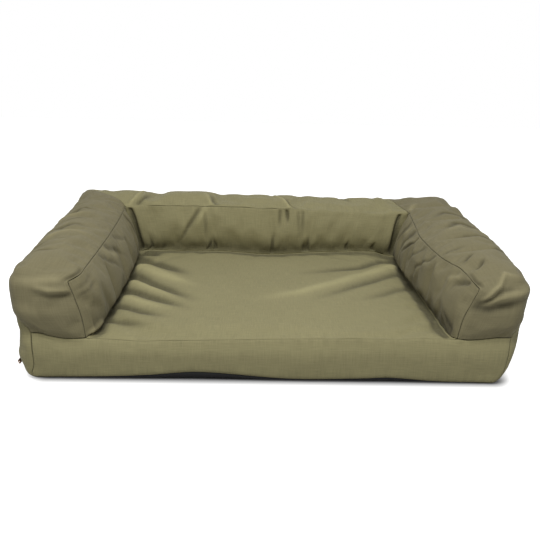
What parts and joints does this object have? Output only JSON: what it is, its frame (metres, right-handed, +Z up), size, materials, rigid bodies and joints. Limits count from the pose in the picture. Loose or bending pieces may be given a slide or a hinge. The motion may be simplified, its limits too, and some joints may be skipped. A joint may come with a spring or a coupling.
{
  "type": "pet lounger bed",
  "caption": "Boxed mattress with a stuffed bolster round three sides in a zipped canvas cover, for a dog or cat to lie in.",
  "frame": {"origin": "on the floor under the middle of the footprint", "axes": "+X across the bed to its right-hand arm seen from the open front, +Y to the back, +Z up"},
  "size_m": [0.9, 0.7, 0.196],
  "materials": {
    "canvas": "olive plain-woven canvas, matt with a faint slub",
    "underside_cloth": "black woven non-slip backing cloth",
    "foam": "cream open-cell foam",
    "fibre_fill": "white hollow-fibre filling in a thin liner",
    "zip_tape": "dark olive woven zip tape",
    "zip_teeth": "dark moulded nylon coil",
    "zip_metal": "dark antiqued zip metal"
  },
  "bodies": {
    "bed": {"left_side_panel": "canvas", "right_side_panel": "canvas", "rear_panel": "canvas", "front_band": "canvas", "seat_panel": "canvas", "left_arm_inner_panel": "canvas", "right_arm_inner_panel": "canvas", "back_facing_panel": "canvas", "left_arm_top_panel": "canvas", "right_arm_top_panel": "canvas", "back_top_panel": "canvas", "underside_panel": "underside_cloth", "mattress_foam": "foam", "left_arm_filling": "fibre_fill", "right_arm_filling": "fibre_fill", "back_filling": "fibre_fill", "zip_tapes": "zip_tape", "zip_beads": "zip_teeth", "zip_stops": "zip_metal"},
    "slider": {"zip_slider": "zip_metal"},
    "pull": {"zip_pull": "zip_metal"}
  },
  "joints": [
    {"name": "zip_slide", "type": "slide", "parent": "bed", "child": "slider", "axis": [0, 1, 0], "range_m": [0, 0.6]},
    {"name": "pull_flip", "type": "hinge", "parent": "slider", "child": "pull", "pos_m": [-0.42883, -0.3132, 0.02274], "axis": [0.4429, 0, -0.8966], "range_deg": [0, 175]}
  ]
}
